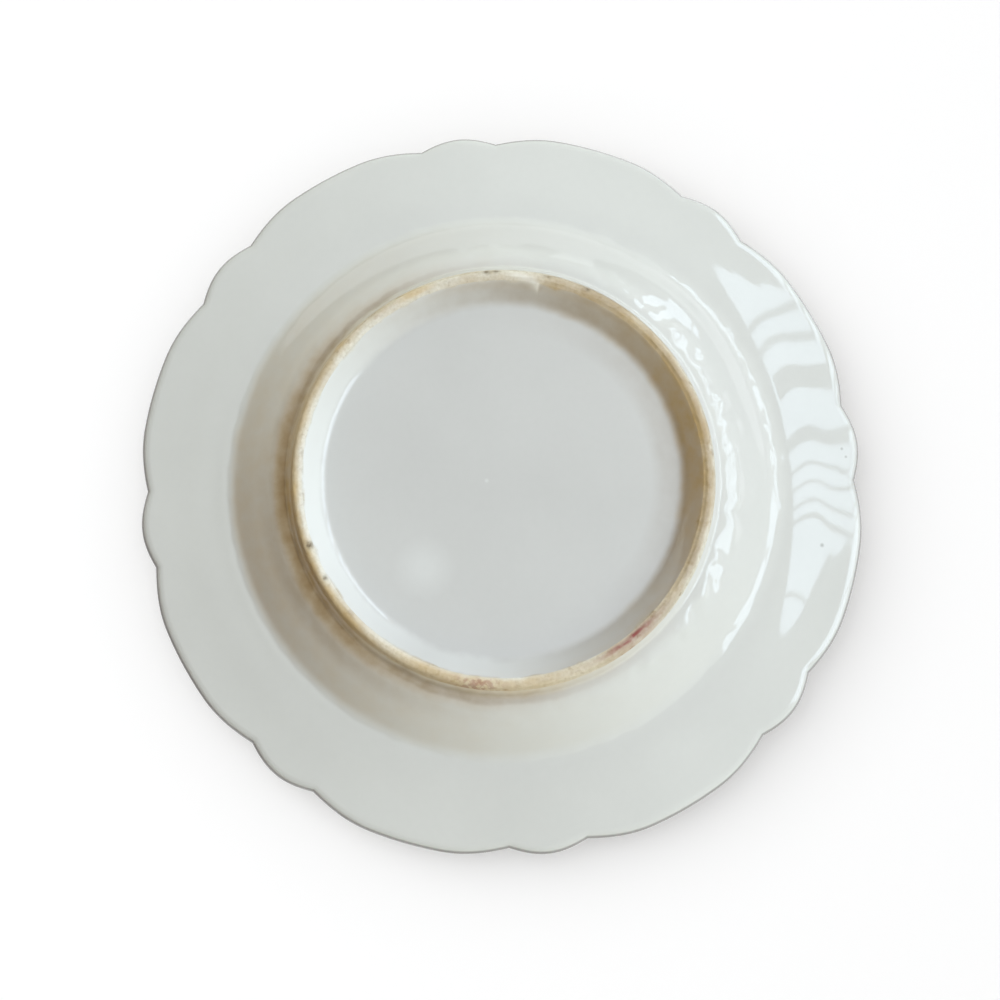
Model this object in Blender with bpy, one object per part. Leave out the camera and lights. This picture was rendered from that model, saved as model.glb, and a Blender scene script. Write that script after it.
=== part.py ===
"""Scalloped porcelain canape dish: a clay body, a luted foot ring and three fired glaze coats.

The dish stands on its foot ring at z = 0 with its eating face up and its axis on Z.
All sizes are in metres.
"""
import math

import bmesh
import bpy

MM = 0.001

# Overall sizes of the finished dish
DISH_RADIUS = 80.0 * MM
DISH_HEIGHT = 19.0 * MM

# Clay body: a flat bottom, a curved cavetto, a crease and a nearly flat flange
BODY_WALL = 2.6 * MM
CAVETTO_RUN = 11.3 * MM
CAVETTO_TURN = 5.9 * MM
CREASE_HEIGHT = 12.8 * MM

# Foot ring: a flared section that stands on a narrow flat tread
FOOT_HEIGHT = 5.0 * MM
FOOT_TREAD_RADIUS = 43.6 * MM
FOOT_TREAD_WIDTH = 2.2 * MM
FOOT_TREAD_BEVEL = 0.4 * MM
FOOT_INNER_FLARE = 3.2 * MM
FOOT_OUTER_FLARE = 2.2 * MM
FOOT_LANDING = 0.4 * MM

# Glaze coats, which stop short of the tread and thin out at the lip
GLAZE_THICKNESS = 0.35 * MM
GLAZE_STOP_HEIGHT = 1.0 * MM
BACK_GLAZE_LIP_ANGLE = math.radians(90.0)
FACE_GLAZE_LIP_ANGLE = math.radians(115.0)

# Clearances that keep neighbouring pieces apart
FOOT_JOINT_GAP = 0.3 * MM
GLAZE_GAP = 0.3 * MM

# Scalloped lip: long and short lobes in turn, with a cusp between neighbours
LOBE_PAIRS = 8
SHORT_LOBE_HALF_ANGLE = math.radians(6.2)
LOBE_SHOULDER_ANGLE = math.radians(10.3)
LONG_LOBE_RISE = 2.0 * MM
SHORT_LOBE_RISE = 1.75 * MM

# Steps of the faceted surfaces
SHORT_LOBE_STEPS = 4
LONG_LOBE_STEPS = 8
ROUND_STEPS = 48
CAVETTO_STEPS = 4
FLANGE_STEPS = 2

SMOOTH_ANGLE = math.radians(35.0)
AXIS_REACH = 0.001 * MM

# Values worked out from the sizes above
LOBE_PITCH = 2.0 * math.pi / LOBE_PAIRS
COAT = GLAZE_GAP + GLAZE_THICKNESS
BASE_HEIGHT = FOOT_HEIGHT + FOOT_JOINT_GAP
FOOT_OUTER_EDGE = FOOT_TREAD_RADIUS + FOOT_TREAD_WIDTH / 2 + FOOT_TREAD_BEVEL
FOOT_INNER_EDGE = FOOT_TREAD_RADIUS - FOOT_TREAD_WIDTH / 2 - FOOT_TREAD_BEVEL
CAVETTO_START = FOOT_OUTER_EDGE + FOOT_OUTER_FLARE + FOOT_LANDING
CREASE_RADIUS = CAVETTO_START + CAVETTO_RUN


def clear_scene():
    for thing in list(bpy.data.objects):
        bpy.data.objects.remove(thing, do_unlink=True)


def notch_depth(angle):
    """How far the lip lies inside the circle of the long lobes at this angle."""
    offset = abs((angle + LOBE_PITCH / 2) % LOBE_PITCH - LOBE_PITCH / 2)
    if offset < SHORT_LOBE_HALF_ANGLE:
        rise = SHORT_LOBE_RISE * math.cos(math.pi / 2 * offset / SHORT_LOBE_HALF_ANGLE)
    else:
        share = min((offset - SHORT_LOBE_HALF_ANGLE) / LOBE_SHOULDER_ANGLE, 1.0)
        rise = LONG_LOBE_RISE * math.sin(math.pi / 2 * share)
    return LONG_LOBE_RISE - rise


def scalloped_radius(radius, angle):
    """The radius after the lobes draw it in: fully at the lip, fading out towards the crease."""
    share = (radius - CREASE_RADIUS) / (DISH_RADIUS - CREASE_RADIUS)
    share = min(max(share, 0.0), 1.0)
    return radius - notch_depth(angle) * share ** 3


def lobe_angles():
    """Angles round the dish, with a step on every cusp."""
    angles = []
    long_half_angle = LOBE_PITCH / 2 - SHORT_LOBE_HALF_ANGLE
    for pair in range(LOBE_PAIRS):
        start = pair * LOBE_PITCH - SHORT_LOBE_HALF_ANGLE
        for step in range(SHORT_LOBE_STEPS):
            angles.append(start + 2 * SHORT_LOBE_HALF_ANGLE * step / SHORT_LOBE_STEPS)
        start += 2 * SHORT_LOBE_HALF_ANGLE
        for step in range(LONG_LOBE_STEPS):
            angles.append(start + 2 * long_half_angle * step / LONG_LOBE_STEPS)
    return angles


def round_angles():
    return [2 * math.pi * step / ROUND_STEPS for step in range(ROUND_STEPS)]


def right_normal(start, end):
    """Unit normal on the right of a step; the clay lies on the left."""
    run = end[0] - start[0]
    climb = end[1] - start[1]
    length = math.hypot(run, climb)
    return climb / length, -run / length


def offset_chain(chain, distance):
    """The section line moved sideways by a distance, away from the clay, with mitred corners."""
    normals = [right_normal(a, b) for a, b in zip(chain, chain[1:])]
    moved = []
    for index, (radius, height) in enumerate(chain):
        before = normals[max(index - 1, 0)]
        after = normals[min(index, len(normals) - 1)]
        mitre = 1.0 + before[0] * after[0] + before[1] * after[1]
        across = (before[0] + after[0]) / mitre
        up = (before[1] + after[1]) / mitre
        moved.append((radius + distance * across, height + distance * up))
    return moved


def foot_outer_radius(height):
    """Radius of the foot ring's outer wall at a height."""
    climb = (height - FOOT_TREAD_BEVEL) / (FOOT_HEIGHT - FOOT_TREAD_BEVEL)
    return FOOT_OUTER_EDGE + FOOT_OUTER_FLARE * climb


def foot_inner_radius(height):
    """Radius of the foot ring's inner wall at a height."""
    climb = (height - FOOT_TREAD_BEVEL) / (FOOT_HEIGHT - FOOT_TREAD_BEVEL)
    return FOOT_INNER_EDGE - FOOT_INNER_FLARE * climb


def cavetto_line():
    """The curve of the underside from the flat bottom up to just before the crease."""
    turn_radius = CAVETTO_START + CAVETTO_TURN
    line = []
    for step in range(CAVETTO_STEPS):
        t = step / CAVETTO_STEPS
        radius = CAVETTO_START * (1 - t) ** 2 + 2 * turn_radius * t * (1 - t) + CREASE_RADIUS * t * t
        height = BASE_HEIGHT + (CREASE_HEIGHT - BASE_HEIGHT) * t * t
        line.append((radius, height))
    return line


def lip_tangent(lip_radius, lip_height):
    """Where the flange's underside runs into the round lip, as a tangent from the crease."""
    run = lip_radius - CREASE_RADIUS
    climb = lip_height - CREASE_HEIGHT
    reach = math.hypot(run, climb)
    slope = math.atan2(climb, run) - math.asin(BODY_WALL / 2 / reach)
    length = math.sqrt(reach ** 2 - (BODY_WALL / 2) ** 2)
    return CREASE_RADIUS + length * math.cos(slope), CREASE_HEIGHT + length * math.sin(slope)


def flange_line():
    """The straight underside of the flange from the crease to the lip."""
    lip_end = lip_tangent(DISH_RADIUS - COAT - BODY_WALL / 2, DISH_HEIGHT - COAT - BODY_WALL / 2)
    line = []
    for step in range(FLANGE_STEPS + 1):
        share = step / FLANGE_STEPS
        radius = CREASE_RADIUS + share * (lip_end[0] - CREASE_RADIUS)
        height = CREASE_HEIGHT + share * (lip_end[1] - CREASE_HEIGHT)
        line.append((radius, height))
    return line


def underside_line():
    """The body's underside from the axis out to the lip."""
    return [(0.0, BASE_HEIGHT)] + cavetto_line() + flange_line()


def lip_arc(under_end, top_end, angles):
    """Points round the half-round lip, turned by the given angles from its underside."""
    middle = ((under_end[0] + top_end[0]) / 2, (under_end[1] + top_end[1]) / 2)
    across = under_end[0] - middle[0]
    up = under_end[1] - middle[1]
    points = []
    for angle in angles:
        cosine = math.cos(angle)
        sine = math.sin(angle)
        points.append((middle[0] + across * cosine - up * sine, middle[1] + across * sine + up * cosine))
    return points


def body_lines():
    """The body's underside, lip and face as three section lines that follow each other."""
    underside = underside_line()
    face = offset_chain(underside, -BODY_WALL)
    turns = [BACK_GLAZE_LIP_ANGLE / 2, BACK_GLAZE_LIP_ANGLE, FACE_GLAZE_LIP_ANGLE]
    lip = lip_arc(underside[-1], face[-1], turns)
    return underside, lip, face[::-1]


def ring_of_points(mesh, radius, height, angles, scalloped):
    """Points round the dish at one radius and height of the section."""
    ring = []
    for angle in angles:
        reach = scalloped_radius(radius, angle) if scalloped else radius
        ring.append(mesh.verts.new((reach * math.cos(angle), reach * math.sin(angle), height)))
    return ring


def turn_section(name, section, angles, material, scalloped):
    """A solid of the section turned round Z.

    A section that starts and ends on the axis gets flat discs there, and any other is a closed loop.
    """
    line = [point for point in section if point[0] > AXIS_REACH]
    mesh = bmesh.new()
    rings = [ring_of_points(mesh, radius, height, angles, scalloped) for radius, height in line]
    pairs = list(zip(rings, rings[1:]))
    if len(line) < len(section):
        mesh.faces.new(rings[0])
        mesh.faces.new(rings[-1])
    else:
        pairs.append((rings[-1], rings[0]))
    for lower, upper in pairs:
        for index in range(len(angles)):
            after = (index + 1) % len(angles)
            mesh.faces.new((lower[index], lower[after], upper[after], upper[index]))
    bmesh.ops.recalc_face_normals(mesh, faces=mesh.faces)
    return add_object(name, mesh, material)


def add_object(name, mesh, material):
    data = bpy.data.meshes.new(name)
    mesh.to_mesh(data)
    mesh.free()
    data.materials.append(material)
    data.shade_smooth()
    data.set_sharp_from_angle(angle=SMOOTH_ANGLE)
    thing = bpy.data.objects.new(name, data)
    bpy.context.collection.objects.link(thing)
    return thing


def ceramic(name, colour, roughness):
    material = bpy.data.materials.new(name)
    material.use_nodes = True
    shader = material.node_tree.nodes["Principled BSDF"]
    shader.inputs["Base Color"].default_value = (*colour, 1.0)
    shader.inputs["Roughness"].default_value = roughness
    shader.inputs["Metallic"].default_value = 0.0
    return material


def coat_lines(chain):
    """The outside and the inside of a glaze coat over a line of clay."""
    return offset_chain(chain, COAT), offset_chain(chain, GLAZE_GAP)


def make_porcelain_body():
    underside, lip, face = body_lines()
    clay = ceramic("bare_porcelain", (0.60, 0.58, 0.53), 0.7)
    return turn_section("porcelain_body", underside + lip + face, lobe_angles(), clay, True)


def make_foot_ring():
    inner_edge = FOOT_TREAD_RADIUS - FOOT_TREAD_WIDTH / 2
    outer_edge = FOOT_TREAD_RADIUS + FOOT_TREAD_WIDTH / 2
    section = [
        (inner_edge, 0.0),
        (outer_edge, 0.0),
        (foot_outer_radius(FOOT_TREAD_BEVEL), FOOT_TREAD_BEVEL),
        (foot_outer_radius(FOOT_HEIGHT), FOOT_HEIGHT),
        (foot_inner_radius(FOOT_HEIGHT), FOOT_HEIGHT),
        (foot_inner_radius(FOOT_TREAD_BEVEL), FOOT_TREAD_BEVEL),
    ]
    clay = ceramic("stained_foot_clay", (0.55, 0.44, 0.30), 0.75)
    return turn_section("foot_ring", section, round_angles(), clay, False)


def make_face_glaze():
    underside, lip, face = body_lines()
    outside, inside = coat_lines(lip[-1:] + face)
    glaze = ceramic("face_glaze", (0.70, 0.73, 0.70), 0.12)
    return turn_section("face_glaze", inside[::-1] + outside, lobe_angles(), glaze, True)


def make_back_glaze():
    underside, lip, face = body_lines()
    foot_wall = [(foot_outer_radius(height), height) for height in (GLAZE_STOP_HEIGHT, FOOT_HEIGHT)]
    past_landing = underside[2:]
    outside, inside = coat_lines(foot_wall + past_landing + lip[:-1])
    glaze = ceramic("back_glaze", (0.68, 0.71, 0.68), 0.12)
    return turn_section("back_glaze", outside + inside[::-1], lobe_angles(), glaze, True)


def make_recess_glaze():
    heights = (BASE_HEIGHT, GLAZE_STOP_HEIGHT)
    foot_wall = [(foot_inner_radius(height), height) for height in heights]
    outside, inside = coat_lines([(0.0, BASE_HEIGHT)] + foot_wall)
    glaze = ceramic("recess_glaze", (0.60, 0.62, 0.60), 0.14)
    return turn_section("recess_glaze", outside + inside[::-1], round_angles(), glaze, False)


def build():
    clear_scene()
    dish = bpy.data.objects.new("canape_dish", None)
    bpy.context.collection.objects.link(dish)
    pieces = [
        make_porcelain_body(),
        make_foot_ring(),
        make_face_glaze(),
        make_back_glaze(),
        make_recess_glaze(),
    ]
    for piece in pieces:
        piece.parent = dish


build()
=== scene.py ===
"""Looks of a scalloped porcelain canape dish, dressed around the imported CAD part.

The dish stands upright on its foot ring at the origin, as in the CAD model. The photograph shows
its underside, so the main camera looks up at it from below. The other views look down on its face.
Sizes of the dish are in millimetres and become metres where the meshes are made. The lamps, the
window and the stage are in metres.
Photo angles run clockwise from the top of the photograph, round the dish's axis, in degrees.
"""
import math

import bpy
import numpy as np
from mathutils import Matrix, Vector, noise


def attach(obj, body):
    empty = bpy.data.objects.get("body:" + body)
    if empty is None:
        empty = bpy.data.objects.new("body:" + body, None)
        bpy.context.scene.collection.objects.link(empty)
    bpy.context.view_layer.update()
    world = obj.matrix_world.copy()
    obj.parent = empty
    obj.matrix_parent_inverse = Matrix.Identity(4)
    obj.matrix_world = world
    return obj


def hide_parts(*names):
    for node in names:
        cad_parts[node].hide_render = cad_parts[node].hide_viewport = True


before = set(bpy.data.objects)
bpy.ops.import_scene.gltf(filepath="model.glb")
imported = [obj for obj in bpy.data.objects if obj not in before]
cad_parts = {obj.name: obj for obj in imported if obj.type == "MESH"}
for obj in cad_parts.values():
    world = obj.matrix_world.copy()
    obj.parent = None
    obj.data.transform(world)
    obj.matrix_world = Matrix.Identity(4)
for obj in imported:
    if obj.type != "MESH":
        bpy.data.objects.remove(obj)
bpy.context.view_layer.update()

MM = 0.001
SHARP_ANGLE = math.radians(50.0)

# Section of the finished dish
DISH_RADIUS = 80.0
DISH_HEIGHT = 19.0
BASE_HEIGHT = 4.65
FOOT_TOP = 4.9

# Glaze coats lie over the clay, with a hair of room between the pieces
GLAZE = 0.30
SEAM = 0.03
UNDER_GLAZE = GLAZE + SEAM
GLAZE_STOP = 0.7
RECESS_GLAZE_STOP = 0.45
# A coat thins to a feather edge where it stops at the foot ring
FEATHER_EDGE = 0.05
FEATHER_RUN = 1.2

# Slopes of the underside from the foot ring's outer wall to the lip: radius, degrees, steps to it
OUTER_SLOPES = (
    (44.95, 58.0, 0),
    (45.8, 58.0, 6),
    (46.7, 6.0, 14),
    (50.2, 35.5, 18),
    (57.2, 38.6, 16),
    (59.2, 26.0, 12),
    (60.3, 7.5, 14),
    (68.3, 11.0, 24),
    (73.5, 8.9, 14),
    (77.7, 8.2, 10),
    (78.72, 20.0, 8),
)
# Slopes of the recess inside the foot ring, which falls outwards to the tread
RECESS_SLOPES = (
    (0.0, 0.0, 0),
    (36.9, 0.0, 14),
    (39.4, 47.0, 16),
    (41.7, 46.0, 10),
    (43.2, 18.0, 10),
)
# Slopes of the dish's face from the middle of the well to the lip
FACE_SLOPES = (
    (0.0, 0.0, 0),
    (45.0, 0.0, 14),
    (50.5, 33.0, 22),
    (55.6, 44.0, 12),
    (59.4, 7.3, 22),
    (68.3, 11.0, 18),
    (73.5, 8.9, 12),
    (77.77, 8.2, 10),
)
# The foot ring's inner wall starts at one radius, and the body's underside is level out to another
RECESS_TURN = 38.0
FLOOR_EDGE = 46.5
FLOOR_STEPS = 16
# The tread is flat between two rounded corners
TREAD_CORNERS = ((43.05, 0.0), (44.15, 0.0))
TREAD_ROUNDS = (0.8, 1.2)
TREAD_STEPS = 9
TREAD_FLAT_STEPS = 5

# The rolled lip; its angles are measured from level, and the two glaze coats stop at its seam
LIP_ROUND = 1.95
LIP_STEPS = 24
LIP_SEAM = (10.0, 13.0)
LIP_SEAM_STEPS = 2
LIP_UNDER = OUTER_SLOPES[-1][1] - 90.0
LIP_OVER = 90.0 + FACE_SLOPES[-1][1]

# Scalloped lip: long and short lobes in turn, with a cusp between neighbours
LOBE_PAIRS = 8
LOBE_PITCH = 2 * math.pi / LOBE_PAIRS
SHORT_LOBE_HALF = math.radians(6.2)
LOBE_SHOULDER = math.radians(10.3)
LONG_LOBE_RISE = 2.0
SHORT_LOBE_RISE = 1.75
SHORT_LOBE_STEPS = 18
LONG_LOBE_STEPS = 40
SCALLOP_START = 70.5
SCALLOP_FULL = 77.0
SCALLOP_FALL = math.tan(math.radians(8.7))
FOOT_RING_STEPS = 1200

# Faults of the firing: the rim is slightly oval, and the flange is wavy and bent a little
# in two places near the lip, each with its photo angle, spread and added slope
OVAL_START = 50.0
OVAL_COSINE = 0.0021
OVAL_SINE = -0.0049
WAVE_LENGTH = 17.0
WAVE_HEIGHT = 0.03
WAVE_START = 60.0
WAVE_FULL = 74.0
TILT_START = 70.5
TILTS = ((108.0, 10.0, -0.0105), (56.0, 11.0, 0.0105))
# The turning leaves rings that wobble: photo angle, spread, radius, width, height and wave length
ALL_ROUND = math.inf
WOBBLES = (
    (0.0, ALL_ROUND, 60.0, 1.6, 0.38, 4.0),
    (90.0, 60.0, 49.2, 2.1, 1.7, 3.6),
)
# Shallow swellings of the wall: photo angle, spread, radius, width and height
SWELLINGS = (
    (46.0, 13.0, 55.4, 3.0, -1.15),
    (262.0, 62.0, 60.2, 2.4, -0.20),
)

# Faults of the foot ring: photo angle, radius, width and depth of each pit, and of a notch
FOOT_PITS = (
    (355.4, 44.4, 0.8, 0.45),
    (358.0, 44.5, 0.7, 0.4),
    (250.1, 43.2, 0.8, 0.4),
    (239.8, 43.0, 0.5, 0.3),
    (24.0, 44.2, 0.6, 0.3),
)
FOOT_NOTCH = (12.3, 44.3, 0.9, 0.5)
NOTCH_SHADE = 0.55
GRAIN_SIZE = 1.1
GRAIN_HEIGHT = 0.12
# Heights between which the tread's grain and its pits fade out
GRAIN_FADE = (0.5 * GLAZE_STOP, GLAZE_STOP)
PIT_FADE = (GLAZE_STOP, 2 * GLAZE_STOP)
# A ragged tooth beside the notch: photo angles of its ends, the radius where it starts, how far it
# reaches inwards at its end and how late it bends there, its width and height, and the shares
# of its length over which it grows and is cut off
TOOTH_START = -4.0
TOOTH_END = 10.8
TOOTH_RIM = 43.7
TOOTH_REACH = 2.2
TOOTH_BEND = 3
TOOTH_WIDTH = 0.95
TOOTH_RISE = 0.25
TOOTH_GROWTH = (0.2, 0.6)
TOOTH_CUT = (1.0, 0.94)
# Pinholes in the flange, and painted reflections on the recess floor, a soft patch and a small
# glint: photo angle, radius, width and share
PINHOLES = ((100.7, 71.0, 0.6, 0.9), (83.7, 75.3, 0.45, 0.8), (85.1, 76.0, 0.4, 0.8))
PAINTED_GLINTS = ((263.3, 3.5, 0.6, 0.5), (221.0, 25.3, 7.0, 0.4))
# A spot is full within this share of its width
SPOT_CORE = 0.2
# Painted bands round the dish: photo angle and spread, the radii where a band starts and is
# full, the radii where it fades and ends, and its share
# Warm painted shade, with a painted glow of light through the porcelain, where walls face away
# from the lamp; the two narrowest bands are ochre marks on the tread
SHADE_AND_STAIN_BANDS = (
    (255.0, 62.0, 42.2, 44.6, 46.5, 51.5, 1.0),
    (255.0, 62.0, 42.2, 44.6, 57.0, 60.0, 0.42),
    (72.0, 62.0, 39.6, 41.6, 42.8, 44.2, 0.9),
    (72.0, 62.0, 42.2, 43.0, 43.8, 44.8, 0.5),
    (76.0, 52.0, 37.0, 39.5, 42.8, 44.2, 0.92),
    (188.0, 38.0, 41.8, 43.0, 45.2, 48.0, 0.6),
    (334.0, 6.0, 42.5, 43.4, 44.2, 45.1, 0.7),
    (309.0, 3.5, 43.6, 44.5, 45.3, 46.2, 0.8),
)
# Dark painted shade: in the groove outside the foot ring, on the recess floor next to its walls,
# and on the tread's shaded side
DEEP_SHADE_BANDS = (
    (252.0, 60.0, 45.7, 46.4, 47.0, 51.0, 0.85),
    (235.0, 35.0, 46.5, 48.5, 50.0, 53.5, 0.35),
    (200.0, 40.0, 44.9, 46.0, 47.2, 48.8, 0.62),
    (300.0, 40.0, 45.4, 46.3, 46.8, 48.2, 0.62),
    (84.0, 62.0, 42.3, 43.1, 43.8, 44.6, 0.56),
    (115.0, 12.0, 42.3, 43.1, 44.0, 44.8, 0.60),
    (134.0, 20.0, 42.7, 43.4, 44.1, 45.0, 0.55),
    (28.0, 14.0, 42.2, 43.2, 44.6, 45.4, 0.55),
    (15.0, 50.0, 36.5, 39.5, 41.6, 42.8, 0.42),
    (75.0, 50.0, 32.0, 35.5, 38.5, 40.5, 0.28),
)
# Pale pooled glaze, painted brighter as painted light where the recess walls and the tread's inner
# edge face the lamps
LIT_POOL_BANDS = (
    (245.0, 62.0, 37.4, 39.4, 42.0, 43.4, 1.0),
    (185.0, 30.0, 37.4, 39.4, 41.8, 42.8, 0.95),
)
BARE_BANDS = ((0.0, ALL_ROUND, 41.8, 42.8, 44.2, 44.9, 1.0),)
# Grey painted shade on the cavetto's top and on the flange under the window
GREY_SHADE_BANDS = (
    (355.0, 60.0, 50.0, 52.5, 56.0, 59.0, 0.16),
    (82.0, 45.0, 60.0, 63.0, 77.0, 79.0, 0.14),
)
RED_BANDS = (
    (142.0, 8.0, 42.4, 43.0, 43.4, 44.0, 1.0),
    (140.0, 8.0, 42.4, 43.2, 45.0, 46.0, 0.28),
)
FLECK_BANDS = ((187.0, 6.0, 42.4, 43.2, 45.0, 46.0, 0.5),)
# How far the pale pooled glaze with its painted light keeps the clay from showing
LIT_POOL_COVER = 0.6
# Grey painted shade on the outermost turn of the lip, as if the glaze thinned there: how far in
# from the rim it starts and is full, and how much of it the face shows
LIP_SHADE_SPAN = (0.85, 0.40)
FACE_LIP_SHADE_SHARE = 0.5
# Painted edges wander: length and height of their waves
EDGE_WANDER = ((7.0, 0.45), (1.9, 0.25))

# Noise in the materials: size, detail, the noise values it runs between and what they become
GLAZE_CLOUDS = (26.0, 3.0, (0.3, 0.7), (0.0, 1.0))
GLAZE_MOTTLE = (1.6, 2.0, (0.35, 0.75), (0.0, 0.035))
GLAZE_DULLNESS = (9.0, 4.0, (0.3, 0.7), (0.025, 0.05))
CLAY_GRAIN = (0.7, 3.0, (0.3, 0.7), (0.0, 1.0))
CLAY_PATCHES = (14.0, 4.0, (0.48, 0.70), (0.0, 0.8))
CLAY_FLECKS = ((2.4, 4.0, (0.58, 0.70), (0.0, 0.4)), (1.2, 4.0, (0.58, 0.70), (0.0, 0.18)))
CLAY_DULLNESS = (0.7, 3.0, (0.3, 0.7), (0.55, 0.75))
# Streaks that break up the painted shade
SHADE_STREAKS = (4.0, 4.0, (0.3, 0.7), (0.65, 1.0))
TOOTH_LUMPS = (1.3, 3.0, (0.3, 0.7), (0.75, 1.0))
RAGGED_EDGE = (4.5, 5.0, (0.3, 0.7), (-0.5, 0.5))
RED_SMEARS = (1.6, 3.0, (0.35, 0.55), (0.5, 1.0))
RED_FLECKS = (1.1, 3.0, (0.44, 0.56), (0.0, 1.0))
PIT_CRUMBS = (0.9, 3.0, (0.3, 0.6), (0.3, 1.0))
PORCELAIN_GRAIN = (1.2, 3.0, (0.3, 0.7), (0.0, 1.0))
PORCELAIN_DULLNESS = (1.2, 3.0, (0.3, 0.7), (0.5, 0.7))
# Bumps that are too small for the meshes: size, detail and height
GLAZE_BUMPS = (3.0, 2.0, 0.0015)
CLAY_BUMPS = (0.7, 3.0, 0.06)
# Levels of a glaze's colour in its clouds and in its mottle
CLOUD_LEVELS = (0.975, 1.02)
MOTTLE_LEVEL = 0.7
# Clay comes through as its ragged share passes the first range and its plain share the second
BARE_RANGE = (0.15, 0.8)
BARE_LIMIT = (0.0, 0.1)

# The photograph's camera: how the picture is turned, tilted and placed against the dish
PICTURE_TURN = math.radians(7.28)
VIEW_TILT = -0.1302
VIEW_SWING = -0.0136
VIEW_SHIFT = (0.48 * MM, -2.92 * MM)
VIEW_DISTANCE = 353.06 * MM
VIEW_LEVEL = 17.05 * MM
LENS_MM = 57.6
SENSOR_MM = 36.0
CLIP_RANGE = (0.01, 100.0)

# Window panes that show as reflections: heights are shares of the window's distance, and each pane
# has the angles of its sides from the window's middle and its lower edge
WINDOW_ANGLE = math.radians(84.0)
WINDOW_DISTANCE = 2.0
WINDOW_LOW = 0.45
WINDOW_HIGH = 1.72
PANES = (
    (-50.0, -37.0, WINDOW_LOW),
    (-35.8, -33.2, WINDOW_LOW),
    (-31.8, -28.0, WINDOW_LOW),
    (-28.0, -23.9, 1.66),
    (-23.9, -17.8, WINDOW_LOW),
    (-15.3, -12.0, WINDOW_LOW),
    (-11.3, -8.7, WINDOW_LOW),
    (-8.0, -5.3, WINDOW_LOW),
    (-4.6, -2.7, WINDOW_LOW),
    (-1.7, 11.8, WINDOW_LOW),
    (12.8, 32.0, WINDOW_LOW),
)
PANE_COLOUR = (0.70, 0.85, 1.0)
PANE_RADIANCE = 4.4

# Lamps: photo angle, angle from the dish's axis, distance, width and height, colour and radiance
KEY_LAMP = (92.0, 33.0, 1.0, (0.9, 0.9), (0.87, 0.94, 1.0), 4.55)
SIDE_LAMP = (345.0, 75.0, 1.0, (0.6, 0.6), (0.93, 1.0, 0.92), 4.9)
RECESS_LAMP = (345.0, 60.0, 1.0, (0.6, 0.6), (0.93, 1.0, 0.95), 1.3)
LOW_LAMP = (155.0, 75.0, 1.0, (0.6, 0.6), (0.95, 1.0, 0.8), 2.5)
# Far panes that show only as glints: two small ones beside the dish, and four over the face that
# differ only in their photo angle
GLINT_PANES = (
    (347.8, 99.0, 1.0, (0.075, 0.032), (0.9, 0.95, 1.0), 3.2),
    (341.5, 99.0, 1.0, (0.055, 0.022), (0.9, 0.95, 1.0), 1.8),
)
FACE_PANE_ANGLES = (22.0, 46.0, 202.0, 226.0)
FACE_PANE = (54.0, 1.0, (0.30, 0.42), (0.9, 0.96, 1.0), 0.8)
# Lamps for the backdrop and its shadow, and one over the face and the floor
DOME_LAMP = (0.0, 0.0, 1.0, (8.0, 8.0), (0.875, 0.945, 1.0), 0.74)
SHADOW_LAMP = (292.0, 43.0, 1.6, (1.65, 1.65), (1.0, 1.0, 1.0), 1.01)
FRONT_LAMP = (0.0, 0.0, 1.6, (1.14, 1.14), (1.0, 1.0, 1.0), 1.15)
TOP_LAMP = (60.0, 42.0, 1.0, (0.8, 0.8), (1.0, 0.99, 0.97), 2.95)
# Which side of the dish a lamp stands on
BELOW = -1
ABOVE = 1
# Warm room light from below, and the sky above
ROOM_COLOUR = (1.0, 0.52, 0.14)
ROOM_LIGHT = 0.10
SKY_LIGHT = 0.55
HORIZON = -0.03
# Coats that throw no light back on the floor or the backdrop, so that both keep the dish's shadow
NO_BOUNCE = ("glazed_back", "glazed_face")
# The floor and the backdrop: half of each width, and the distances over which each goes white
BACKDROP_HEIGHT = 27.5 * MM
FLOOR_HALF = 3.0
BACKDROP_HALF = 0.4
FLOOR_FADE = (0.10, 0.55)
BACKDROP_FADE = (0.30, 0.40)
# Orders of a sheet's corners that make it face up or down
FACING_UP = (0, 1, 2, 3)
FACING_DOWN = (3, 2, 1, 0)

FLOOR_COLOUR = (0.88, 0.88, 0.88)
BACKDROP_COLOUR = (0.96, 0.96, 0.96)
WHITE = (1.0, 1.0, 1.0)
BACK_COLOUR = (0.725, 0.745, 0.73)
RECESS_COLOUR = (0.69, 0.706, 0.697)
FACE_COLOUR = (0.74, 0.755, 0.735)
# Warm painted shade, dark painted shade, painted light on pooled glaze, and grey painted shade at
# the lip
SHADE_AND_STAIN_COLOUR = (0.66, 0.475, 0.21)
DEEP_SHADE_COLOUR = (0.26, 0.18, 0.10)
LIT_POOL_COLOUR = (0.87, 0.905, 0.90)
LIP_SHADE_COLOUR = (0.30, 0.295, 0.29)
SPECK_COLOUR = (0.38, 0.38, 0.35)
CREAM_COLOURS = ((0.65, 0.615, 0.51), (0.79, 0.77, 0.69))
OCHRE_COLOUR = (0.50, 0.38, 0.22)
BROWN_COLOUR = (0.27, 0.17, 0.08)
PIT_COLOUR = (0.15, 0.11, 0.06)
TOOTH_COLOUR = (0.84, 0.82, 0.74)
RED_COLOUR = (0.30, 0.075, 0.07)
PORCELAIN_COLOURS = ((0.52, 0.51, 0.48), (0.60, 0.59, 0.56))


def smooth_step(low, high, values):
    share = np.clip((values - low) / (high - low), 0.0, 1.0)
    return share * share * (3 - 2 * share)


def eased(share):
    return (1 - math.cos(math.pi * share)) / 2


def bell(values, middle, spread):
    """A share that is 1 at the middle and falls off to both sides."""
    return np.exp(-(((values - middle) / spread) ** 2))


def photo_angles(points):
    """Photo angles of points round the dish's axis."""
    return (np.degrees(np.arctan2(points[:, 1], points[:, 0]) - PICTURE_TURN) + 90.0) % 360.0


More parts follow.
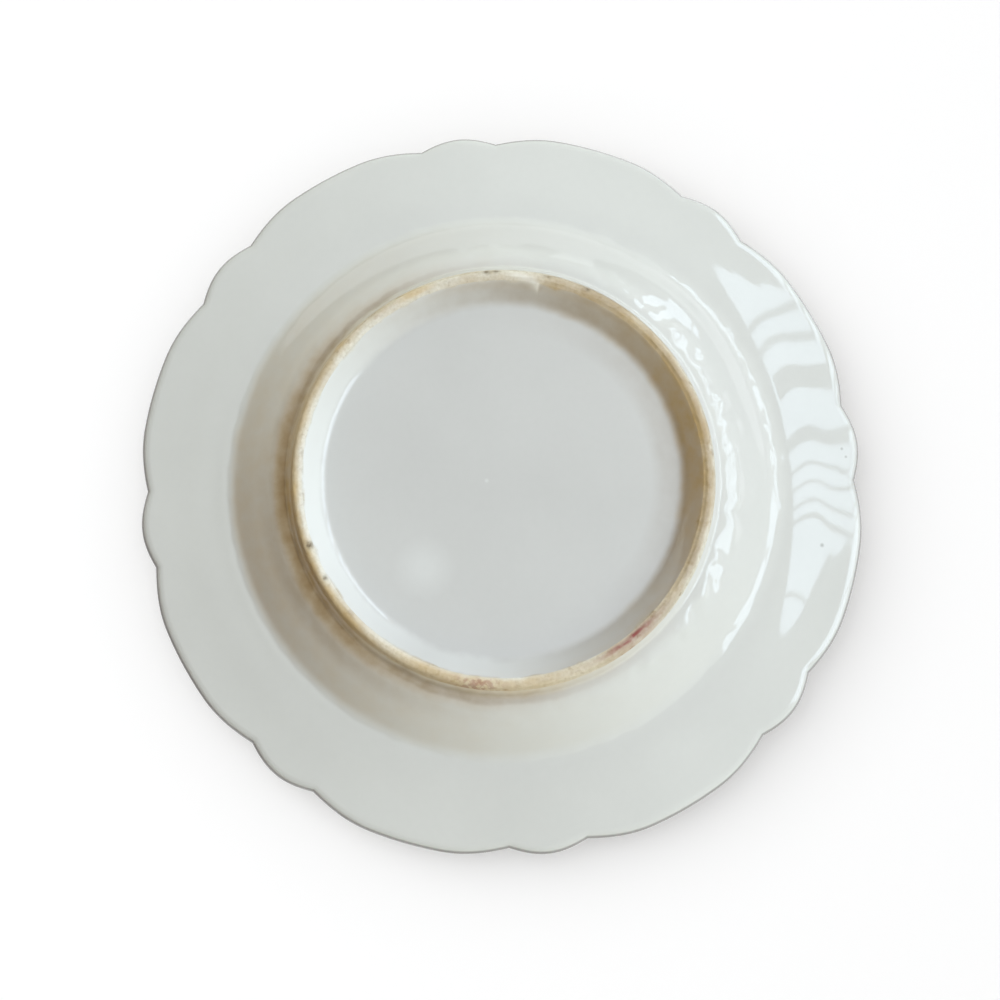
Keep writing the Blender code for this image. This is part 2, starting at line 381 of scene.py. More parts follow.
def near_angle(angles, middle, spread):
    """A share that is 1 at the middle angle and falls off to both sides."""
    return bell((angles - middle + 180.0) % 360.0 - 180.0, 0.0, spread)


def slope_line(knots, direction):
    """A section line that follows slopes, easing from each knot to the next."""
    line = [(knots[0][0], 0.0)]
    for (radius, slope, _), (next_radius, next_slope, steps) in zip(knots, knots[1:]):
        stride = (next_radius - radius) / steps
        for step in range(steps):
            middle = slope + (next_slope - slope) * eased((step + 0.5) / steps)
            last_radius, last_height = line[-1]
            rise = direction * stride * math.tan(math.radians(middle))
            line.append((last_radius + stride, last_height + rise))
    return line


def lifted(line, lift):
    return [(radius, height + lift) for radius, height in line]


def right_normals(line):
    """Unit normals on the right of a section line; the clay lies on the left."""
    steps = np.diff(np.array(line), axis=0)
    sides = np.column_stack((steps[:, 1], -steps[:, 0]))
    sides /= np.linalg.norm(sides, axis=1)[:, None]
    joined = np.vstack((sides[:1], sides[:-1] + sides[1:], sides[-1:]))
    return joined / np.linalg.norm(joined, axis=1)[:, None]


def sunk_line(line, depth):
    """The line moved sideways into the clay."""
    moved = np.array(line) - depth * right_normals(line)
    moved[:, 0] = np.maximum(moved[:, 0], 0.0)
    return [tuple(point) for point in moved]


def coat_loop(line, foot_end):
    """A coat of glaze on a line, with its far side; it thins where it stops at the foot ring."""
    run = np.linalg.norm(np.array(line) - np.array(foot_end), axis=1)
    depths = FEATHER_EDGE + (GLAZE - FEATHER_EDGE) * smooth_step(0.0, FEATHER_RUN, run)
    return line + sunk_line(line, depths[:, None])[::-1]


def corner_arc(before, corner, after, radius, steps):
    """A rounded corner between two straight runs."""
    corner = np.array(corner)
    back = np.array(before) - corner
    ahead = np.array(after) - corner
    back /= np.linalg.norm(back)
    ahead /= np.linalg.norm(ahead)
    reach = radius / math.tan(math.acos(np.dot(back, ahead)) / 2)
    points = []
    for share in np.linspace(0.0, 1.0, steps + 1):
        start = corner + back * reach * (1 - share)
        end = corner + ahead * reach * share
        points.append(tuple(start * (1 - share) + end * share))
    return points


def tread_line(before, after):
    """The rounded tread between the foot ring's inner and outer walls."""
    inner, outer = TREAD_CORNERS
    first = corner_arc(before, inner, outer, TREAD_ROUNDS[0], TREAD_STEPS)
    last = corner_arc(inner, outer, after, TREAD_ROUNDS[1], TREAD_STEPS)
    flat = np.linspace(first[-1], last[0], TREAD_FLAT_STEPS + 1)[1:-1]
    return first + [tuple(point) for point in flat] + last


def lip_arc(first, last, steps):
    """Points round the lip between two angles from level."""
    points = []
    for angle in np.radians(np.linspace(first, last, steps)):
        across = DISH_RADIUS - LIP_ROUND + LIP_ROUND * math.cos(angle)
        up = DISH_HEIGHT - LIP_ROUND + LIP_ROUND * math.sin(angle)
        points.append((across, up))
    return points


def section_lines():
    """The finished surface in lines: recess, bare foot, back, face, and the body's underside."""
    under_lip = lip_arc(LIP_UNDER, LIP_SEAM[0], LIP_STEPS)
    over_lip = lip_arc(LIP_SEAM[1], LIP_OVER, LIP_STEPS)
    outer = slope_line(OUTER_SLOPES, 1)
    outer = lifted(outer, under_lip[0][1] - outer[-1][1])
    inner = lifted(slope_line(RECESS_SLOPES, -1), BASE_HEIGHT)
    well = slope_line(FACE_SLOPES, 1)
    well = lifted(well, over_lip[-1][1] - well[-1][1])
    recess = [point for point in inner if point[1] >= RECESS_GLAZE_STOP]
    back = [point for point in outer if point[1] >= GLAZE_STOP]
    foot = [recess[-1]] + tread_line(recess[-1], back[0]) + [back[0]]
    bottom = [(radius, BASE_HEIGHT) for radius in np.linspace(0.0, FLOOR_EDGE, FLOOR_STEPS)]
    bottom += [point for point in outer if point[1] >= BASE_HEIGHT]
    return recess, foot, back[:-1] + under_lip, over_lip[:-1] + well[::-1], bottom


def notch_depths(angles):
    """How far the lip lies inside the circle of the long lobes."""
    offsets = np.abs((angles + LOBE_PITCH / 2) % LOBE_PITCH - LOBE_PITCH / 2)
    short = SHORT_LOBE_RISE * np.cos(math.pi / 2 * offsets / SHORT_LOBE_HALF)
    shares = np.clip((offsets - SHORT_LOBE_HALF) / LOBE_SHOULDER, 0.0, 1.0)
    long = LONG_LOBE_RISE * np.sin(math.pi / 2 * shares)
    return LONG_LOBE_RISE - np.where(offsets < SHORT_LOBE_HALF, short, long)


def lobe_angles():
    """Angles round the dish, with a step on every cusp."""
    angles = []
    for pair in range(LOBE_PAIRS):
        first = pair * LOBE_PITCH - SHORT_LOBE_HALF
        cusp = first + 2 * SHORT_LOBE_HALF
        last = first + LOBE_PITCH
        angles.extend(np.linspace(first, cusp, SHORT_LOBE_STEPS, endpoint=False))
        angles.extend(np.linspace(cusp, last, LONG_LOBE_STEPS, endpoint=False))
    return np.array(angles)


LOBE_ANGLES = lobe_angles()
FOOT_ANGLES = np.linspace(0.0, 2 * math.pi, FOOT_RING_STEPS, endpoint=False)


def fired_shape(points):
    """The points moved by the faults of the firing."""
    radii = np.hypot(points[:, 0], points[:, 1])
    angles = photo_angles(points)
    turns = np.radians(2 * angles)
    oval = OVAL_COSINE * np.cos(turns) + OVAL_SINE * np.sin(turns)
    stretch = 1 + oval * smooth_step(OVAL_START, DISH_RADIUS, radii)
    places = points[:, :2] / WAVE_LENGTH
    waves = np.array([noise.noise((x, y, 0.0)) for x, y in places])
    lifts = WAVE_HEIGHT * waves * smooth_step(WAVE_START, WAVE_FULL, radii)
    for middle, spread, slope in TILTS:
        lifts += slope * np.maximum(radii - TILT_START, 0.0) * near_angle(angles, middle, spread)
    for middle, spread, radius, width, height in SWELLINGS:
        lifts += height * near_angle(angles, middle, spread) * bell(radii, radius, width)
    for middle, spread, radius, width, height, length in WOBBLES:
        places = points[:, :2] / length
        waves = np.array([noise.noise((x, y, radius)) for x, y in places])
        share = near_angle(angles, middle, spread) * bell(radii, radius, width)
        stretch += height * waves * share / radius
    return np.column_stack((points[:, :2] * stretch[:, None], points[:, 2] + lifts))


def turned_points(rings, angles):
    """Points of a section turned round the axis, with the lobes drawn in."""
    section = np.array(rings)
    inward = smooth_step(SCALLOP_START, SCALLOP_FULL, section[:, 0])
    shifts = inward[:, None] * notch_depths(angles)[None, :]
    radii = section[:, 0][:, None] - shifts
    heights = section[:, 1][:, None] - SCALLOP_FALL * shifts
    points = np.stack((radii * np.cos(angles), radii * np.sin(angles), heights), axis=2)
    return fired_shape(points.reshape(-1, 3))


def spot_shares(points, spot):
    """How much of a spot on the foot ring each point has: 1 in its middle, 0 away from it."""
    angle, radius, width, _ = spot
    turn = math.radians(angle - 90.0) + PICTURE_TURN
    middle = radius * np.array((math.cos(turn), math.sin(turn)))
    away = np.linalg.norm(points[:, :2] - middle, axis=1)
    return bell(away, 0.0, width) * (1 - smooth_step(*PIT_FADE, points[:, 2]))


def worn_foot(points):
    """The foot ring's points with the tread's grain, its pits and its notch."""
    grain = np.array([noise.noise(place / GRAIN_SIZE) for place in map(Vector, points)])
    lifts = GRAIN_HEIGHT * grain * (1 - smooth_step(*GRAIN_FADE, points[:, 2]))
    for spot in FOOT_PITS + (FOOT_NOTCH,):
        depth = spot[-1]
        lifts += depth * spot_shares(points, spot)
    moved = points.copy()
    moved[:, 2] = np.maximum(points[:, 2] + lifts, 0.0)
    return moved


def wandering_radii(points):
    """Radii for painted layers, so that their edges wander round the dish."""
    radii = np.hypot(points[:, 0], points[:, 1])
    for length, most in EDGE_WANDER:
        places = points[:, :2] / length
        radii += most * np.array([noise.noise((x, y, length)) for x, y in places])
    return radii


def tooth_share(points):
    """How much of the tooth each point has; it reaches further inwards up to its sharp end."""
    radii = wandering_radii(points)
    turns = (photo_angles(points) - TOOTH_START + 180.0) % 360.0 - 180.0
    along = np.clip(turns / (TOOTH_END - TOOTH_START), 0.0, 1.0)
    middle = TOOTH_RIM - TOOTH_REACH * along ** TOOTH_BEND
    within = smooth_step(*TOOTH_GROWTH, along) * smooth_step(*TOOTH_CUT, along)
    return within * bell(radii, middle, TOOTH_WIDTH)


def band_faces(ring_starts, count):
    """Quads between rings of points that follow each other."""
    faces = []
    for here, there in zip(ring_starts, ring_starts[1:]):
        for index in range(count):
            after = (index + 1) % count
            faces.append((here + index, here + after, there + after, there + index))
    return faces


def fan_faces(centre, ring_start, count, facing_up):
    """Triangles from a point on the axis to the ring round it."""
    faces = []
    for index in range(count):
        edge = (ring_start + index, ring_start + (index + 1) % count)
        faces.append((centre, *edge) if facing_up else (centre, *edge[::-1]))
    return faces


def turned_mesh(loop, angles):
    """Points and faces of a section loop, which starts and ends on the axis or closes on itself.

    Each point's radius in the section is given too.
    """
    on_axis = loop[0][0] == 0.0
    rings = loop[1:-1] if on_axis else loop
    count = len(angles)
    points = turned_points(rings, angles)
    starts = [ring * count for ring in range(len(rings))]
    reaches = np.repeat([ring[0] for ring in rings], count)
    if not on_axis:
        return points, band_faces(starts + [0], count), reaches
    faces = band_faces(starts, count)
    faces += fan_faces(len(points), 0, count, False)
    faces += fan_faces(len(points) + 1, starts[-1], count, True)
    poles = [(0.0, 0.0, loop[0][1]), (0.0, 0.0, loop[-1][1])]
    return np.vstack((points, poles)), faces, np.append(reaches, (0.0, 0.0))


def add_piece(name, points, faces, node, material, layers):
    """A dressed piece that stands for a CAD node; layers name a value at each of its points."""
    mesh = bpy.data.meshes.new(name)
    mesh.from_pydata(points * MM, [], faces)
    mesh.materials.append(material)
    mesh.shade_smooth()
    mesh.set_sharp_from_angle(angle=SHARP_ANGLE)
    for layer, values in layers.items():
        mesh.attributes.new(layer, "FLOAT", "POINT").data.foreach_set("value", values)
    piece = bpy.data.objects.new(name, mesh)
    bpy.context.collection.objects.link(piece)
    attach(piece, "root")
    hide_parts(node)
    return piece


def add_node(tree, kind, inputs, **settings):
    """A node with its inputs set: a socket is linked and anything else is a fixed value."""
    node = tree.nodes.new(kind)
    for key, value in settings.items():
        setattr(node, key, value)
    for key, value in inputs.items():
        if isinstance(value, bpy.types.NodeSocket):
            tree.links.new(value, node.inputs[key])
        else:
            node.inputs[key].default_value = value
    return node


def new_material(name):
    material = bpy.data.materials.new(name)
    material.use_nodes = True
    tree = material.node_tree
    place = add_node(tree, "ShaderNodeTexCoord", {}).outputs["Object"]
    return material, tree, tree.nodes["Principled BSDF"].inputs, place


def cloud_value(tree, place, size, detail):
    """Noise whose clouds are about the given size in millimetres."""
    inputs = {"Vector": place, "Scale": 1 / (size * MM), "Detail": detail}
    return add_node(tree, "ShaderNodeTexNoise", inputs).outputs["Fac"]


def ranged(tree, value, start, end, low=0.0, high=1.0):
    """The value carried from one range to another, and held there."""
    inputs = {"Value": value, "From Min": start, "From Max": end, "To Min": low, "To Max": high}
    return add_node(tree, "ShaderNodeMapRange", inputs).outputs["Result"]


def noise_share(tree, place, setting):
    """A share that follows noise, by one of the settings above."""
    size, detail, noise_range, shares = setting
    return ranged(tree, cloud_value(tree, place, size, detail), *noise_range, *shares)


def math_node(tree, operation, first, second):
    return add_node(tree, "ShaderNodeMath", {0: first, 1: second}, operation=operation).outputs[0]


def product(tree, first, second):
    return math_node(tree, "MULTIPLY", first, second)


def larger(tree, first, second):
    return math_node(tree, "MAXIMUM", first, second)


def mixed(tree, share, first, second):
    """One colour going over into another; a colour is a socket or a fixed value.

    Inputs 6 and 7 of the node are its colours, and output 2 is the mixed one.
    """
    inputs = {0: share, 6: first, 7: second}
    for key in (6, 7):
        if not isinstance(inputs[key], bpy.types.NodeSocket):
            inputs[key] = (*inputs[key], 1.0)
    return add_node(tree, "ShaderNodeMix", inputs, data_type="RGBA").outputs[2]


def painted(tree, name):
    """A layer of values that a piece carries."""
    return add_node(tree, "ShaderNodeAttribute", {}, attribute_name=name).outputs["Fac"]


def tinted(colour, level):
    return tuple(part * level for part in colour)


def bumped(tree, place, setting):
    """Normals of a surface with small bumps."""
    size, detail, height = setting
    bumps = cloud_value(tree, place, size, detail)
    inputs = {"Height": bumps, "Strength": 1.0, "Distance": height * MM}
    return add_node(tree, "ShaderNodeBump", inputs).outputs["Normal"]


def vector_node(tree, operation, first, second):
    inputs = {0: first, 1: second}
    return add_node(tree, "ShaderNodeVectorMath", inputs, operation=operation).outputs


def spot_share(tree, place, spots):
    """Round spots on a piece, each with its photo angle, radius, width and share."""
    flat = vector_node(tree, "MULTIPLY", place, (1.0, 1.0, 0.0))["Vector"]
    share = 0.0
    for angle, radius, width, most in spots:
        middle = photo_direction(math.radians(angle)) * radius * MM
        away = vector_node(tree, "DISTANCE", flat, middle)["Value"]
        spot = ranged(tree, away, width * MM, SPOT_CORE * width * MM, 0.0, most)
        share = larger(tree, spot, share)
    return share


def clay_tone(tree, place):
    """Cream fired clay with ochre patches and brown flecks."""
    tone = mixed(tree, noise_share(tree, place, CLAY_GRAIN), *CREAM_COLOURS)
    tone = mixed(tree, noise_share(tree, place, CLAY_PATCHES), tone, OCHRE_COLOUR)
    for setting in CLAY_FLECKS:
        tone = mixed(tree, noise_share(tree, place, setting), tone, BROWN_COLOUR)
    return tone


def shaded_and_stained(tree, place, tone):
    """Warm painted shade and stain over a tone, and dark painted shade, in streaks."""
    streaks = noise_share(tree, place, SHADE_STREAKS)
    tone = mixed(tree, product(tree, painted(tree, "shade_and_stain"), streaks), tone, SHADE_AND_STAIN_COLOUR)
    return mixed(tree, product(tree, painted(tree, "deep_shade"), streaks), tone, DEEP_SHADE_COLOUR)


def tooth_tone(tree, place, tone):
    """A lumpy pale tooth over a tone."""
    lumps = noise_share(tree, place, TOOTH_LUMPS)
    return mixed(tree, product(tree, painted(tree, "tooth"), lumps), tone, TOOTH_COLOUR)


def bare_share(tree, place):
    """How far the clay shows, with a ragged edge, where the glaze thins at the foot ring."""
    bare = painted(tree, "bare")
    ragged = math_node(tree, "ADD", bare, noise_share(tree, place, RAGGED_EDGE))
    return product(tree, ranged(tree, ragged, *BARE_RANGE), ranged(tree, bare, *BARE_LIMIT))


def glaze_material(name, colour, dark_spots, glint_spots):
    """Thick glaze over white porcelain: faint clouds, dark pinholes, painted reflections, painted
    light on pooled glaze, and painted shade, warm, dark and grey at the edge.
    """
    material, tree, surface, place = new_material(name)
    clouds = noise_share(tree, place, GLAZE_CLOUDS)
    tone = mixed(tree, clouds, *(tinted(colour, level) for level in CLOUD_LEVELS))
    mottle = noise_share(tree, place, GLAZE_MOTTLE)
    tone = mixed(tree, mottle, tone, tinted(colour, MOTTLE_LEVEL))
    tone = mixed(tree, painted(tree, "lit_pool"), tone, LIT_POOL_COLOUR)
    tone = mixed(tree, bare_share(tree, place), tone, clay_tone(tree, place))
    tone = shaded_and_stained(tree, place, tone)
    tone = tooth_tone(tree, place, tone)
    tone = mixed(tree, painted(tree, "lip"), tone, LIP_SHADE_COLOUR)
    tone = mixed(tree, spot_share(tree, place, dark_spots), tone, SPECK_COLOUR)
    tone = mixed(tree, spot_share(tree, place, glint_spots), tone, LIT_POOL_COLOUR)
    tree.links.new(tone, surface["Base Color"])
    tree.links.new(noise_share(tree, place, GLAZE_DULLNESS), surface["Roughness"])
    tree.links.new(bumped(tree, place, GLAZE_BUMPS), surface["Normal"])
    return material


def clay_material(name):
    """Bare fired clay with warm and dark painted shade, a smear of red enamel, painted light on
    its inner edge, dark pits and a pale tooth.
    """
    material, tree, surface, place = new_material(name)
    tone = shaded_and_stained(tree, place, clay_tone(tree, place))
    smears = noise_share(tree, place, RED_SMEARS)
    tone = mixed(tree, product(tree, painted(tree, "red"), smears), tone, RED_COLOUR)
    flecks = noise_share(tree, place, RED_FLECKS)
    tone = mixed(tree, product(tree, painted(tree, "fleck"), flecks), tone, RED_COLOUR)
    tone = tooth_tone(tree, place, tone)
    tone = mixed(tree, painted(tree, "lit_pool"), tone, LIT_POOL_COLOUR)
    crumbs = noise_share(tree, place, PIT_CRUMBS)
    tone = mixed(tree, product(tree, painted(tree, "pit"), crumbs), tone, PIT_COLOUR)
    tree.links.new(tone, surface["Base Color"])
    tree.links.new(noise_share(tree, place, CLAY_DULLNESS), surface["Roughness"])
    tree.links.new(bumped(tree, place, CLAY_BUMPS), surface["Normal"])
    return material


def porcelain_material(name):
    """Bare white body, which shows only in the hairline between the glaze coats."""
    material, tree, surface, place = new_material(name)
    tone = mixed(tree, noise_share(tree, place, PORCELAIN_GRAIN), *PORCELAIN_COLOURS)
    tree.links.new(tone, surface["Base Color"])
    tree.links.new(noise_share(tree, place, PORCELAIN_DULLNESS), surface["Roughness"])
    return material


def lip_shade_layer(reaches):
    """Grey painted shade on the outermost turn of the lip, as if the glaze thinned over the body.
    """
    start, full = LIP_SHADE_SPAN
    return smooth_step(DISH_RADIUS - start, DISH_RADIUS - full, reaches)


def band_shares(radii, angles, bands):
    """The largest share that any of the bands has at each point."""
    most = np.zeros(len(radii))
    for angle, spread, start, full, fade, end, share in bands:
        across = smooth_step(start, full, radii) * smooth_step(end, fade, radii)
        most = np.maximum(most, share * near_angle(angles, angle, spread) * across)
    return most


def shade_and_stain_layers(radii, angles):
    """The warm and the dark painted shade, which run on from piece to piece."""
    return {
        "shade_and_stain": band_shares(radii, angles, SHADE_AND_STAIN_BANDS),
        "deep_shade": band_shares(radii, angles, DEEP_SHADE_BANDS),
    }


def back_layers(points, reaches):
    radii = wandering_radii(points)
    angles = photo_angles(points)
    layers = shade_and_stain_layers(radii, angles)
    layers["bare"] = band_shares(radii, angles, BARE_BANDS)
    layers["lip"] = np.maximum(lip_shade_layer(reaches), band_shares(radii, angles, GREY_SHADE_BANDS))
    return layers


def recess_layers(points):
    radii = wandering_radii(points)
    angles = photo_angles(points)
    layers = shade_and_stain_layers(radii, angles)
    layers["lit_pool"] = band_shares(radii, angles, LIT_POOL_BANDS)
    layers["bare"] = band_shares(radii, angles, BARE_BANDS) * (1 - LIT_POOL_COVER * layers["lit_pool"])
    layers["tooth"] = tooth_share(points)
    return layers


def foot_layers(points):
    radii = wandering_radii(points)
    angles = photo_angles(points)
    pits = sum(spot_shares(points, spot) for spot in FOOT_PITS)
    pits += NOTCH_SHADE * spot_shares(points, FOOT_NOTCH)
    layers = shade_and_stain_layers(radii, angles)
    layers["lit_pool"] = (1 - LIT_POOL_COVER) * band_shares(radii, angles, LIT_POOL_BANDS)
    layers["pit"] = np.clip(pits, 0.0, 1.0)
    layers["tooth"] = tooth_share(points)
    layers["red"] = band_shares(radii, angles, RED_BANDS)
    layers["fleck"] = band_shares(radii, angles, FLECK_BANDS)
    return layers


def make_recess(recess):
    points, faces, _ = turned_mesh(coat_loop(recess, recess[-1]), FOOT_ANGLES)
    points[:, 2] -= TOOTH_RISE * tooth_share(points)
    glaze = glaze_material("recess_glaze", RECESS_COLOUR, (), PAINTED_GLINTS)
    layers = recess_layers(points)
    return add_piece("glazed_recess", points, faces, "recess_glaze", glaze, layers)


def make_back(back):
    points, faces, reaches = turned_mesh(coat_loop(back, back[0]), LOBE_ANGLES)
    glaze = glaze_material("back_glaze", BACK_COLOUR, PINHOLES, ())
    layers = back_layers(points, reaches)
    return add_piece("glazed_back", points, faces, "back_glaze", glaze, layers)


def make_face(face):
    points, faces, reaches = turned_mesh(sunk_line(face, GLAZE)[::-1] + face, LOBE_ANGLES)
    glaze = glaze_material("face_glaze", FACE_COLOUR, (), ())
    layers = {"lip": FACE_LIP_SHADE_SHARE * lip_shade_layer(reaches)}
    return add_piece("glazed_face", points, faces, "face_glaze", glaze, layers)


def make_foot(foot, back, recess):
    """The foot ring: bare along its tread, and under the glaze coats up to the body."""
    low_wall = [point for point in sunk_line(recess, UNDER_GLAZE) if point[1] <= FOOT_TOP]
    inner_wall = [point for point in low_wall if point[0] > RECESS_TURN]
    outer_wall = [point for point in sunk_line(back, UNDER_GLAZE) if point[1] <= FOOT_TOP]
    points, faces, _ = turned_mesh(foot + outer_wall + inner_wall, FOOT_ANGLES)
    clay = clay_material("foot_clay")
    layers = foot_layers(points)
    worn = worn_foot(points)
    return add_piece("bare_foot_ring", worn, faces, "foot_ring", clay, layers)


def make_core(bottom, face):
    """The body, which reaches the surface only in the seam of the lip."""
    seam = lip_arc(*LIP_SEAM, LIP_SEAM_STEPS)
    loop = sunk_line(bottom, UNDER_GLAZE) + seam + sunk_line(face, UNDER_GLAZE)
    points, faces, _ = turned_mesh(loop, LOBE_ANGLES)
    body = porcelain_material("bare_porcelain")
    return add_piece("porcelain_core", points, faces, "porcelain_body", body, {})


def make_dish():
    """The five pieces, the recess first."""
    recess, foot, back, face, bottom = section_lines()
    pieces = [
        make_recess(recess),
        make_back(back),
        make_face(face),
        make_foot(foot, back, recess),
        make_core(bottom, face),
    ]
    for piece in pieces:
        piece.visible_diffuse = piece.name not in NO_BOUNCE
    return pieces


def picture_axes():
    """World directions of the photograph's right, down and away."""
    right = Vector((math.cos(PICTURE_TURN), math.sin(PICTURE_TURN), 0.0))
    down = Vector((-math.sin(PICTURE_TURN), math.cos(PICTURE_TURN), 0.0))
    return right, down, Vector((0.0, 0.0, 1.0))


def photo_direction(photo_angle):
    """World direction, level with the dish, at an angle in radians from the photograph's top."""
    right, down, _ = picture_axes()
    return right * math.sin(photo_angle) - down * math.cos(photo_angle)


def make_camera():
    tilt = Matrix.Rotation(VIEW_TILT, 3, "X") @ Matrix.Rotation(VIEW_SWING, 3, "Y")
    right, down, ahead = tilt @ Matrix(picture_axes())
    place = -(right * VIEW_SHIFT[0] + down * VIEW_SHIFT[1] + ahead * VIEW_DISTANCE)
    place += Vector((0.0, 0.0, VIEW_LEVEL))
    lens = bpy.data.cameras.new("camera")
    lens.lens = LENS_MM
    lens.sensor_width = SENSOR_MM
    lens.clip_start, lens.clip_end = CLIP_RANGE
    camera = bpy.data.objects.new("camera", lens)
    facing = Matrix((right, -down, -ahead)).transposed().to_4x4()
    camera.matrix_world = Matrix.Translation(place) @ facing
    bpy.context.collection.objects.link(camera)
    bpy.context.scene.camera = camera


def area_lamp(name, size, colour, power, receivers):
    """A rectangular lamp that shows to no camera and lights only the given collection."""
    light = bpy.data.lights.new(name, "AREA")
    light.shape = "RECTANGLE"
    light.size, light.size_y = size
    light.color = colour
    light.energy = power
    lamp = bpy.data.objects.new(name, light)
    lamp.visible_camera = False
    lamp.rotation_mode = "QUATERNION"
    lamp.light_linking.receiver_collection = receivers
    bpy.context.collection.objects.link(lamp)
    return lamp


def make_panes(receivers):
    """Panes of a window that stands on the photograph's right; only reflections show them."""
    away = Vector((0.0, 0.0, 1.0))
    facing = photo_direction(WINDOW_ANGLE)
    along = photo_direction(WINDOW_ANGLE + math.pi / 2)
    high = WINDOW_DISTANCE * WINDOW_HIGH
    for number, (left, right, low_share) in enumerate(PANES):
        start, end = (WINDOW_DISTANCE * math.tan(math.radians(edge)) for edge in (left, right))
        low = WINDOW_DISTANCE * low_share
        size = (end - start, high - low)
        power = PANE_RADIANCE * math.pi * size[0] * size[1]
        pane = area_lamp(f"pane_{number}", size, PANE_COLOUR, power, receivers)
        middle = along * (start + end) / 2 - away * (low + high) / 2
        pane.location = facing * WINDOW_DISTANCE + middle
        pane.rotation_quaternion = Matrix((-along, -away, facing)).transposed().to_quaternion()
        pane.visible_diffuse = False


def soft_lamp(name, setting, side, receivers):
    """A lamp of a set radiance that faces the dish and shows in no reflection."""
    photo_angle, zenith, distance, size, colour, radiance = setting
    outward = photo_direction(math.radians(photo_angle)) * math.sin(math.radians(zenith))
    place = distance * (outward + Vector((0.0, 0.0, side * math.cos(math.radians(zenith)))))
    lamp = area_lamp(name, size, colour, radiance * math.pi * size[0] * size[1], receivers)
    lamp.location = place
    lamp.rotation_quaternion = place.to_track_quat("Z", "Y")
    lamp.visible_glossy = False
    return lamp


def glint_pane(name, setting, side, receivers):
    """A far window that shows only in reflections."""
    lamp = soft_lamp(name, setting, side, receivers)
    lamp.visible_glossy = True
    lamp.visible_diffuse = False


def make_world():
    """A warm dim room below the dish and a pale sky above it, which is white where it is seen."""
    world = bpy.data.worlds.new("room")
    world.use_nodes = True
    bpy.context.scene.world = world
    tree = world.node_tree
    shade = tree.nodes["Background"]
    facing = add_node(tree, "ShaderNodeTexCoord", {}).outputs["Generated"]
    height = add_node(tree, "ShaderNodeSeparateXYZ", {"Vector": facing}).outputs["Z"]
    above = math_node(tree, "GREATER_THAN", height, HORIZON)
    rays = add_node(tree, "ShaderNodeLightPath", {}).outputs
    seen = larger(tree, rays["Is Camera Ray"], rays["Is Glossy Ray"])
    seen = larger(tree, seen, rays["Is Transmission Ray"])
    sky = ranged(tree, seen, 0.0, 1.0, SKY_LIGHT, 1.0)
    level = add_node(tree, "ShaderNodeMix", {0: above, 2: ROOM_LIGHT, 3: sky}).outputs[0]
    tree.links.new(mixed(tree, above, ROOM_COLOUR, WHITE), shade.inputs["Color"])
    tree.links.new(level, shade.inputs["Strength"])


def paper(name, colour, fade):
    """A pale matt surface that shows only from its front and goes white between two distances."""
    material = bpy.data.materials.new(name)
    material.use_nodes = True
    tree = material.node_tree
    tree.nodes.clear()
    geometry = add_node(tree, "ShaderNodeNewGeometry", {})
    matt = add_node(tree, "ShaderNodeBsdfDiffuse", {"Color": (*colour, 1.0)})
    white = add_node(tree, "ShaderNodeEmission", {"Strength": 1.0})
    place = add_node(tree, "ShaderNodeTexCoord", {}).outputs["Object"]
    away = add_node(tree, "ShaderNodeVectorMath", {0: place}, operation="LENGTH").outputs["Value"]
    span = {"Value": away, "From Min": fade[0], "From Max": fade[1]}
    share = add_node(tree, "ShaderNodeMapRange", span, interpolation_type="SMOOTHSTEP")
    tones = {0: share.outputs["Result"], 1: matt.outputs[0], 2: white.outputs[0]}
    sheet = add_node(tree, "ShaderNodeMixShader", tones)
    clear = add_node(tree, "ShaderNodeBsdfTransparent", {})
    faces = {0: geometry.outputs["Backfacing"], 1: sheet.outputs[0], 2: clear.outputs[0]}
    mix = add_node(tree, "ShaderNodeMixShader", faces)
    add_node(tree, "ShaderNodeOutputMaterial", {"Surface": mix.outputs[0]})
    return material


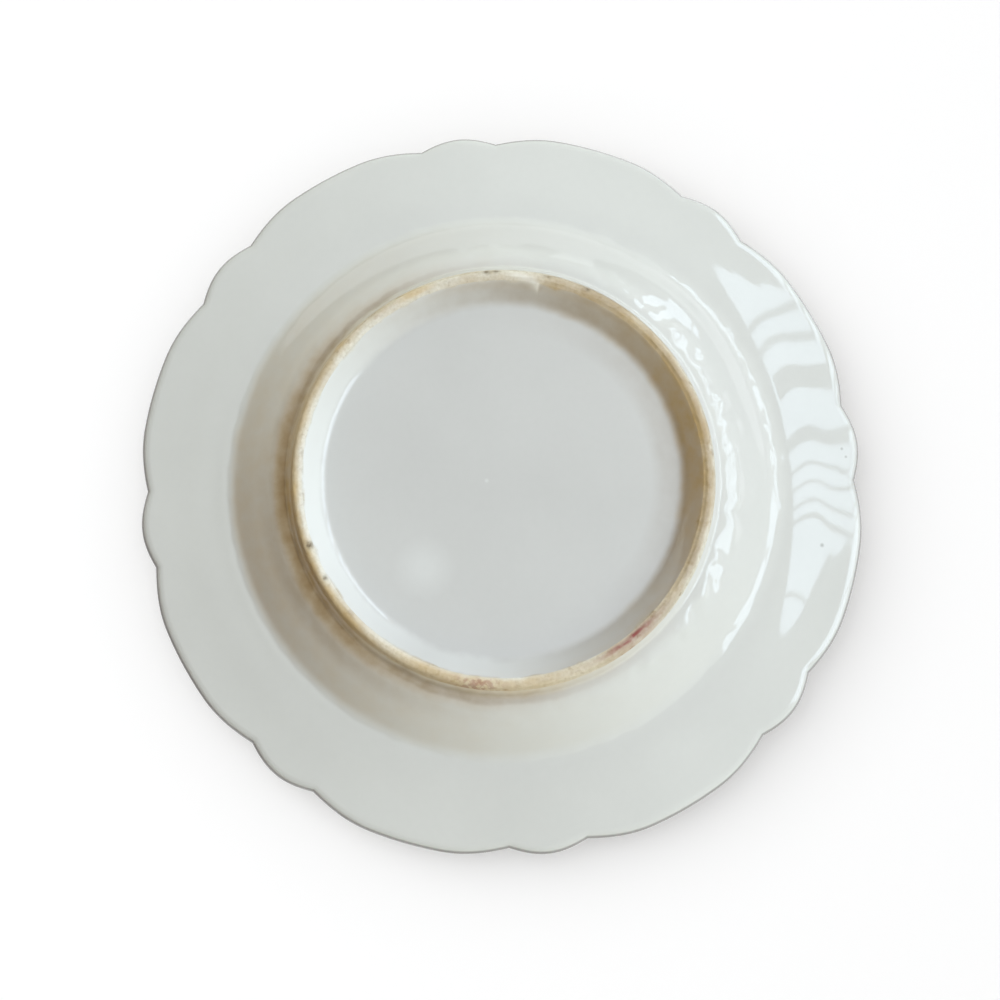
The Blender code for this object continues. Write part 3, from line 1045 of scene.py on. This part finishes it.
def stage_plane(name, height, half, corner_order, material):
    """A level sheet that only the camera sees, so that light reaches the dish through it."""
    corners = [(-half, -half), (half, -half), (half, half), (-half, half)]
    mesh = bpy.data.meshes.new(name)
    mesh.from_pydata([(*corner, height) for corner in corners], [], [corner_order])
    mesh.materials.append(material)
    plane = bpy.data.objects.new(name, mesh)
    bpy.context.collection.objects.link(plane)
    plane.visible_diffuse = False
    plane.visible_glossy = False
    plane.visible_transmission = False
    plane.visible_shadow = False
    return plane


def group(name, things):
    collection = bpy.data.collections.new(name)
    for thing in things:
        collection.objects.link(thing)
    return collection


pieces = make_dish()
recess_piece, *outside_pieces = pieces
make_camera()
floor_paper = paper("floor_paper", FLOOR_COLOUR, FLOOR_FADE)
floor = stage_plane("floor", 0.0, FLOOR_HALF, FACING_UP, floor_paper)
backdrop_paper = paper("backdrop_paper", BACKDROP_COLOUR, BACKDROP_FADE)
backdrop = stage_plane("backdrop", BACKDROP_HEIGHT, BACKDROP_HALF, FACING_DOWN, backdrop_paper)
lit_dish = group("lit_dish", pieces)
lit_recess = group("lit_recess", [recess_piece])
lit_outside = group("lit_outside", outside_pieces)
lit_from_above = group("lit_from_above", pieces + [floor])
lit_backdrop = group("lit_backdrop", [backdrop])
make_panes(lit_dish)
soft_lamp("key", KEY_LAMP, BELOW, lit_dish)
soft_lamp("side", SIDE_LAMP, BELOW, lit_outside)
soft_lamp("recess_lamp", RECESS_LAMP, BELOW, lit_recess)
soft_lamp("low", LOW_LAMP, BELOW, lit_dish)
for number, setting in enumerate(GLINT_PANES):
    glint_pane(f"glint_{number}", setting, BELOW, lit_dish)
for number, photo_angle in enumerate(FACE_PANE_ANGLES):
    glint_pane(f"face_pane_{number}", (photo_angle, *FACE_PANE), ABOVE, lit_dish)
soft_lamp("dome", DOME_LAMP, BELOW, lit_backdrop)
soft_lamp("shadow_lamp", SHADOW_LAMP, BELOW, lit_backdrop)
soft_lamp("front_lamp", FRONT_LAMP, BELOW, lit_backdrop)
soft_lamp("top_lamp", TOP_LAMP, ABOVE, lit_from_above)
make_world()
bpy.context.scene.view_settings.view_transform = "Standard"
